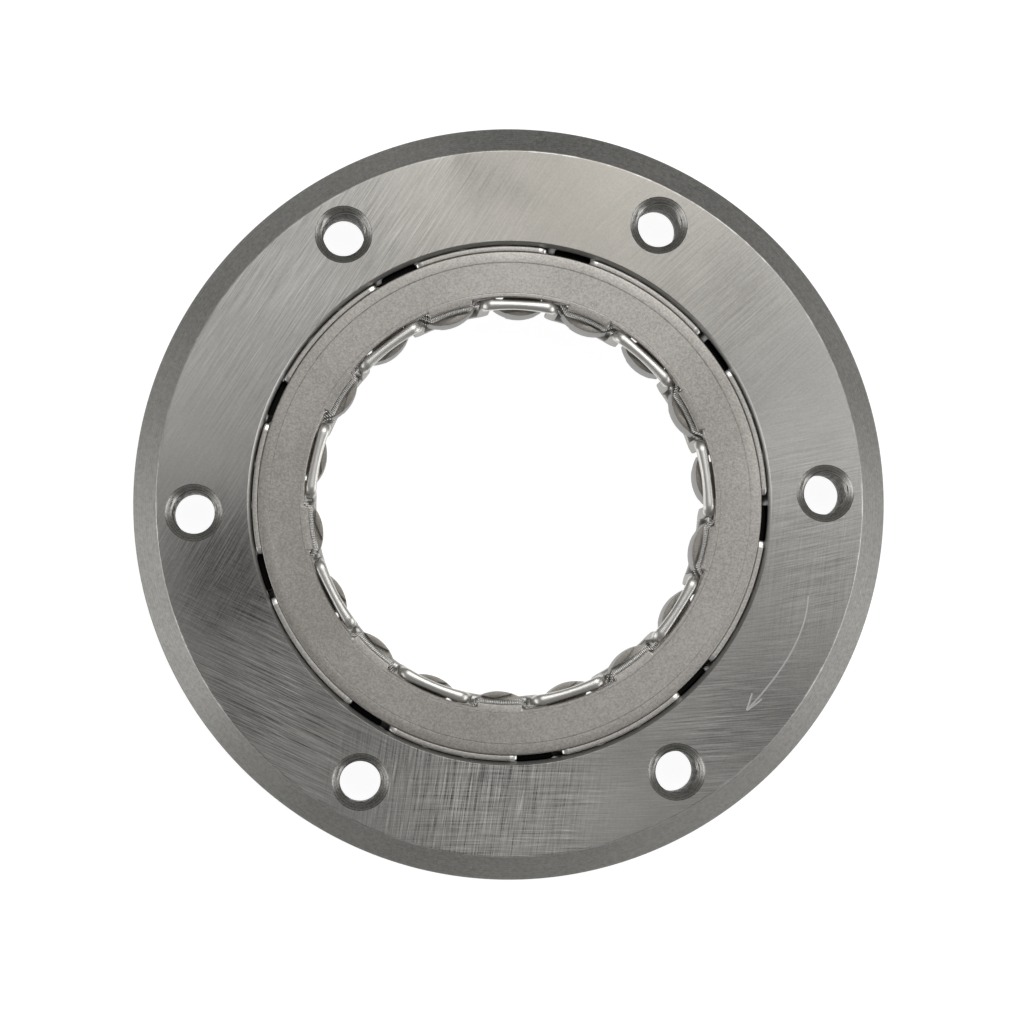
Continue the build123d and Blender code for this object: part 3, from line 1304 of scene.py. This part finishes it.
@dataclass
class InnerCage:
    """The meander band: nine polished front bars, nine back bars and eighteen crossbars."""

    top: float = 11.95
    bottom: float = 0.25
    inner: float = 23.35
    wall: float = 0.6
    bar: float = 1.4
    bar_depth: float = 1.0
    crossbar: float = 1.4
    bend: float = 0.85
    bar_angle: float = 7.4
    stations: int = 9
    neck: tuple = (0.45, 1.5)
    pinch: float = 0.14
    bar_power: float = 0.95
    crossbar_power: float = 0.70
    around: int = 28

    def half_path(self, reach: float, rise: float) -> tuple:
        """Middle line from a front bar's middle, down one crossbar, to a back bar's middle.

        It is straight runs joined by two quarter circles of the bend radius, laid out flat with
        the crossbar at zero. The section passes from bar to crossbar over the neck's two depths
        below the bar's middle line.

        Args:
            reach: Half the distance between bar middles.
            rise: Height of a bar's middle line over the crossbar's middle.

        Returns:
            Points (along, height), each point's share of crossbar section, and its pinch, the
            share by which a bar is thinner than at its ends.
        """
        bend = self.bend
        run = np.linspace(-reach, -bend, 22)[:-1]
        level = np.column_stack([run, np.full(len(run), rise)])
        into = arc((-bend, rise - bend), bend, math.pi / 2, 0, 15)
        drop = np.linspace(rise - bend, bend - rise, 34)[1:-1]
        straight = np.column_stack([np.zeros(len(drop)), drop])
        points = np.vstack([level, into, straight, -into[::-1], -level[::-1][:-1]])
        fall = rise - np.abs(points[:, 1])
        shares = np.clip((fall - self.neck[0]) / (self.neck[1] - self.neck[0]), 0, 1)
        shares = shares * shares * (3 - 2 * shares)
        away = np.clip((reach - np.abs(points[:, 0])) / (reach - bend), 0, 1)
        return points, shares, self.pinch * (1 - away**2)

    def build(self, shop: Workshop) -> bpy.types.Object:
        """Make the band and dress it.

        A superellipse section (a |cos t|^p, b |sin t|^p) follows the meander on the cylinder. Its
        radial and lateral sizes and its power p pass smoothly from bar to crossbar in each bend.

        Args:
            shop: The finishes.

        Returns:
            The band.
        """
        middle = (self.top + self.bottom) / 2
        rise = (self.top - self.bottom - self.bar_depth) / 2
        flat = self.inner + self.wall / 2
        pitch = math.pi / self.stations
        points, share, pinch = self.half_path(flat * pitch / 2, rise)
        turns = np.arange(2 * self.stations)[:, None]
        along = (points[None, :, 0] + flat * pitch * (turns + 0.5)).ravel()
        height = (points[None, :, 1] * np.where(turns % 2 == 0, 1, -1)).ravel()
        share = np.tile(share, 2 * self.stations)[:, None]
        pinch = np.tile(pinch, 2 * self.stations)[:, None]
        whole = flat * TURN
        step = (np.roll(along, -1) - np.roll(along, 1) + whole / 2) % whole - whole / 2
        climb = np.roll(height, -1) - np.roll(height, 1)
        length = np.hypot(step, climb)
        side = np.column_stack([-climb / length, step / length])
        around = np.linspace(0, TURN, self.around, endpoint=False)[None, :]
        power = self.bar_power + (self.crossbar_power - self.bar_power) * share
        across = np.sign(np.cos(around)) * np.abs(np.cos(around)) ** power
        lateral = np.sign(np.sin(around)) * np.abs(np.sin(around)) ** power
        thick = (self.bar + (self.wall - self.bar) * share) * (1 - pinch)
        wide = self.bar_depth + (self.crossbar - self.bar_depth) * share
        radius = self.inner + thick / 2 * (1 + across)
        shift = wide / 2 * lateral
        angle = (along[:, None] + shift * side[:, :1]) / flat + math.radians(self.bar_angle)
        rings = polar(radius, angle, middle + height[:, None] + shift * side[:, 1:])
        quads = grid_quads(len(along), around.size, True, True)
        shell = Shell(rings.reshape(-1, 3), quads.tolist())
        band = piece("meander_band", shell, shop.band)
        on_bar = face_vectors(band.data, "center")[:, 2] > (self.top - self.bar_depth) * MM
        second_finish(band.data, on_bar, shop.bar)
        smooth(band.data, 60.0)
        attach(band, "phasing_band")
        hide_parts("inner_cage")
        return band


@dataclass
class GarterSpring:
    """A closed ring of close-wound wire that lies further in at each sprag than between them."""

    node: str
    height: float
    near: float = 24.17
    far: float = 25.20
    level: float = 5.5
    rise: float = 3.0
    coil: float = 0.50
    wire: float = 0.105
    turns: int = 700
    steps: int = 10
    sprags: int = 18
    sprag_angle: float = 7.4

    def axis(self, angle: np.ndarray) -> np.ndarray:
        """Radius of the coil's axis at each angle.

        It is near + (far - near) s^2 (3 - 2 s), where s grows from 0 to 1 over the rise beyond
        the level stretch, both in degrees from the nearest sprag.

        Args:
            angle: Angles from +X in radians.

        Returns:
            The radii in millimetres.
        """
        pitch = 360 / self.sprags
        away = np.abs((np.degrees(angle) - self.sprag_angle + pitch / 2) % pitch - pitch / 2)
        share = np.clip((away - self.level) / self.rise, 0, 1)
        return self.near + (self.far - self.near) * share**2 * (3 - 2 * share)

    def build(self, shop: Workshop) -> bpy.types.Object:
        """Make the coil and dress it.

        The wire goes round the coil's axis at turns * a, so a point is
        axis + (coil - wire) (outwards cos t + up sin t).

        Args:
            shop: The finishes.

        Returns:
            The spring.
        """
        angle = np.linspace(0, TURN, self.turns * self.steps, endpoint=False)
        lead = self.turns * angle
        reach = self.coil - self.wire
        radius = self.axis(angle) + reach * np.cos(lead)
        path = polar(radius, angle, self.height + reach * np.sin(lead))
        outward = polar(np.cos(lead), angle, np.sin(lead))
        along = np.roll(path, -1, axis=0) - np.roll(path, 1, axis=0)
        along /= np.linalg.norm(along, axis=1, keepdims=True)
        side = outward - along * np.sum(outward * along, axis=1, keepdims=True)
        side /= np.linalg.norm(side, axis=1, keepdims=True)
        shell = tube(path, side, np.cross(along, side), self.wire, 6, True)
        spring = piece(self.node + "_coil", shell, shop.spring)
        smooth(spring.data)
        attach(spring, "phasing_band")
        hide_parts(self.node)
        return spring


@dataclass
class SpragSet:
    """Eighteen sprags, each a cam body that rocks about its outer cam's centre."""

    count: int = 18
    pivot: float = 26.9
    first_angle: float = 5.643
    outer_cam: float = 4.2
    inner_cam: float = 5.0
    inner_centre: tuple = (27.717, 0.85)
    outer_half: float = 2.6
    inner_span: tuple = (-2.203, 3.597)
    waist: float = 1.8
    low: float = 1.7
    high: float = 10.5
    edge: float = 0.16
    groove_radius: float = 24.17
    groove: float = 0.62
    groove_depth: float = 0.75
    groove_flare: float = 0.20
    groove_spread: float = 0.38
    run: float = 5.8
    level_normal: float = 0.75

    def outline(self) -> np.ndarray:
        """Section (x, y): outer cam, hollow flank, inner cam, hollow flank.

        The flanks are quadratic curves through three points, and the corners between the curves
        are eased by the edge rounding of the finished body.

        Returns:
            The closed outline.
        """
        swing = math.asin(self.outer_half / self.outer_cam)
        outer = arc((self.pivot, 0), self.outer_cam, -swing, swing, 28)
        low, high = (
            math.asin((end - self.inner_centre[1]) / self.inner_cam) for end in self.inner_span
        )
        inner = arc(self.inner_centre, self.inner_cam, math.pi - high, math.pi - low, 36)
        near = self.flank(outer[-1], (self.pivot, self.waist), inner[0])
        far = self.flank(inner[-1], (self.pivot, -self.waist), outer[0])
        return np.vstack([outer, near[1:-1], inner, far[1:-1]])

    def flank(self, start: np.ndarray, middle: tuple, end: np.ndarray) -> np.ndarray:
        """Quadratic curve through three points, for a hollow flank."""
        return quadratic(start, 2 * np.array(middle) - (start + end) / 2, end, 12)

    def groove_cutter(self, low: float, high: float) -> Shell:
        """End groove for the spring, widened at opposite corners so that the sprag can rock.

        Args:
            low: Height of the cutter's bottom.
            high: Height of the cutter's top.

        Returns:
            The cutter.
        """
        inner, outer = self.groove_radius - self.groove, self.groove_radius + self.groove
        flare = self.run * self.groove_flare
        sag = self.run**2 / (2 * self.groove_radius)
        outline = [(inner - sag, -self.run), (inner, 0), (inner - sag - flare, self.run)]
        outline += [(outer, self.run), (outer, 0)]
        outline.append((outer + self.run * self.groove_spread, -self.run))
        return upright_prism(np.array(outline), low, high)

    def blank(self, shop: Workshop) -> bpy.types.Mesh:
        """One sprag on the +X axis, with black end faces and bright cams.

        Args:
            shop: The finishes.

        Returns:
            The sprag's mesh.
        """
        body = upright_prism(self.outline(), self.low, self.high)
        sprag = piece("sprag_blank", body, shop.sprag)
        cuts = [
            self.groove_cutter(self.high - self.groove_depth, self.high + 1),
            self.groove_cutter(self.low - 1, self.low + self.groove_depth),
        ]
        carve(sprag, piece("groove_cutters", join(cuts), shop.sprag_end))
        soften(sprag, 50.0, self.edge, 3)
        mesh = sprag.data
        mesh.materials.clear()
        mesh.materials.append(shop.sprag)
        level = np.abs(face_vectors(mesh, "normal")[:, 2]) > self.level_normal
        second_finish(mesh, level, shop.sprag_end)
        mesh.attributes.remove(mesh.attributes["custom_normal"])
        bpy.data.objects.remove(sprag)
        return mesh

    def build(self, shop: Workshop) -> list[bpy.types.Object]:
        """Make every sprag from the blank, each turned to its own station in its mesh.

        Args:
            shop: The finishes.

        Returns:
            The sprags.
        """
        blank = self.blank(shop)
        made = []
        for index in range(self.count):
            label = f"sprag_{index + 1:02d}"
            mesh = blank.copy()
            turn = math.radians(self.first_angle + index * 360 / self.count)
            points = np.zeros(len(mesh.vertices) * 3)
            mesh.vertices.foreach_get("co", points)
            shell = Shell(points.reshape(-1, 3), []).turned(turn)
            mesh.vertices.foreach_set("co", shell.points.ravel())
            mesh.update()
            sprag = linked(label + "_body", mesh)
            smooth(mesh, SHARP_CORNER)
            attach(sprag, label + "_body")
            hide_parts(label)
            made.append(sprag)
        bpy.data.meshes.remove(blank)
        return made


# Stage, lights and camera


@dataclass(frozen=True)
class SoftBox:
    """A lamp aimed at the clutch: its place and sides in metres and its power in watts."""

    name: str
    place: tuple
    sides: tuple
    power: float

    def build(self) -> None:
        """Hang the lamp."""
        lamp = bpy.data.lights.new(self.name, "AREA")
        lamp.shape = "RECTANGLE"
        lamp.size, lamp.size_y = self.sides
        lamp.energy = self.power
        thing = linked(self.name, lamp)
        thing.location = self.place
        thing.rotation_euler = (-Vector(self.place)).to_track_quat("-Z", "Y").to_euler()


@dataclass
class Studio:
    """White floor, soft boxes to the left and right, and a high panel over the far right."""

    floor_size: float = 4.0
    floor_drop: float = 0.02
    floor_white: float = 0.30
    glow: float = 0.93
    ambient: float = 0.19
    boxes: tuple = (
        SoftBox("left_box", (-0.60, -0.16, 0.20), (0.5, 0.4), 1.2),
        SoftBox("right_box", (0.60, -0.16, 0.20), (0.5, 0.4), 1.4),
        SoftBox("high_panel", (0.22, 0.50, 0.95), (0.75, 0.75), 5.2),
    )

    def floor(self) -> None:
        """White floor that shows white to the camera and keeps a faint shadow."""
        half = self.floor_size / 2 / MM
        corners = np.array([(-half, -half), (half, -half), (half, half), (-half, half)])
        corners = np.column_stack([corners, np.full(len(corners), -self.floor_drop)])
        material = bpy.data.materials.new("white_floor")
        material.use_nodes = True
        material.node_tree.nodes.clear()
        sheet = NodeSheet(material.node_tree)
        rays = sheet.node("LightPath", {})
        seen = sheet.math("MAXIMUM", rays["Is Camera Ray"], rays["Is Glossy Ray"])
        seen = sheet.math("MAXIMUM", seen, rays["Is Transmission Ray"])
        shade = sheet.node("BsdfDiffuse", {0: (self.floor_white,) * 3 + (1.0,)})[0]
        glow = sheet.node("Emission", {"Strength": sheet.times(seen, self.glow)})[0]
        sheet.node("OutputMaterial", {0: sheet.node("AddShader", {0: shade, 1: glow})[0]})
        mesh = bpy.data.meshes.new("floor")
        mesh.from_pydata((corners * MM).tolist(), [], [(0, 1, 2, 3)])
        mesh.materials.append(material)
        floor = linked("floor", mesh)

    def world(self) -> None:
        """Even grey light from all round."""
        world = bpy.data.worlds.new("studio")
        bpy.context.scene.world = world
        world.use_nodes = True
        world.node_tree.nodes.clear()
        sheet = NodeSheet(world.node_tree)
        light = {"Color": (1.0, 1.0, 1.0, 1.0), "Strength": self.ambient}
        sheet.node("OutputWorld", {0: sheet.node("Background", light)[0]})

    def build(self) -> None:
        """Set up floor, lamps and world."""
        self.floor()
        self.world()
        for box in self.boxes:
            box.build()


@dataclass
class Viewpoint:
    """The photograph's camera: nearly straight above, from the lower left."""

    distance: float = 650.0
    foot: tuple = (-20.48, -20.11)
    aim: tuple = (0.233, -1.09)
    scale: float = 8.30
    frame_width: float = 1024.0
    sensor: float = 36.0
    clip: tuple = (0.01, 20.0)

    def build(self) -> None:
        """Create the camera and make it the scene's camera."""
        camera = bpy.data.cameras.new("photo_camera")
        thing = linked("photo_camera", camera)
        place = Vector((*self.foot, FRONT + self.distance))
        look = Vector((*self.aim, FRONT)) - place
        forward = look.normalized()
        right = forward.cross(Vector((0, 1, 0))).normalized()
        up = right.cross(forward)
        thing.matrix_world = view_matrix(right, up, forward, place * MM)
        camera.sensor_width = self.sensor
        camera.lens = self.sensor * look.length * self.scale / self.frame_width
        camera.clip_start, camera.clip_end = self.clip
        bpy.context.scene.camera = thing


def view_matrix(right: Vector, up: Vector, forward: Vector, place: Vector) -> Matrix:
    """Placement of a camera that looks along forward with up as its picture's top.

    Args:
        right: Unit vector to the picture's right.
        up: Unit vector to the picture's top.
        forward: Unit vector along the view.
        place: The camera's place in metres.

    Returns:
        The camera's world matrix.
    """
    turn = Matrix((right, up, -forward)).transposed().to_4x4()
    return Matrix.Translation(place) @ turn


def main() -> None:
    """Build the stage and every piece."""
    logging.basicConfig(level=logging.INFO)
    bpy.context.scene.view_settings.view_transform = "Standard"
    Viewpoint().build()
    Studio().build()
    shop = Workshop()
    made = [
        ClutchRing().build(shop),
        OuterCage().build(shop),
        InnerCage().build(shop),
        GarterSpring("front_garter_spring", 10.4).build(shop),
        GarterSpring("back_garter_spring", 1.8).build(shop),
    ]
    made += SpragSet().build(shop)
    for thing in made:
        log.info("%s: %d faces", thing.name, len(thing.data.polygons))


if __name__ == "__main__":
    main()
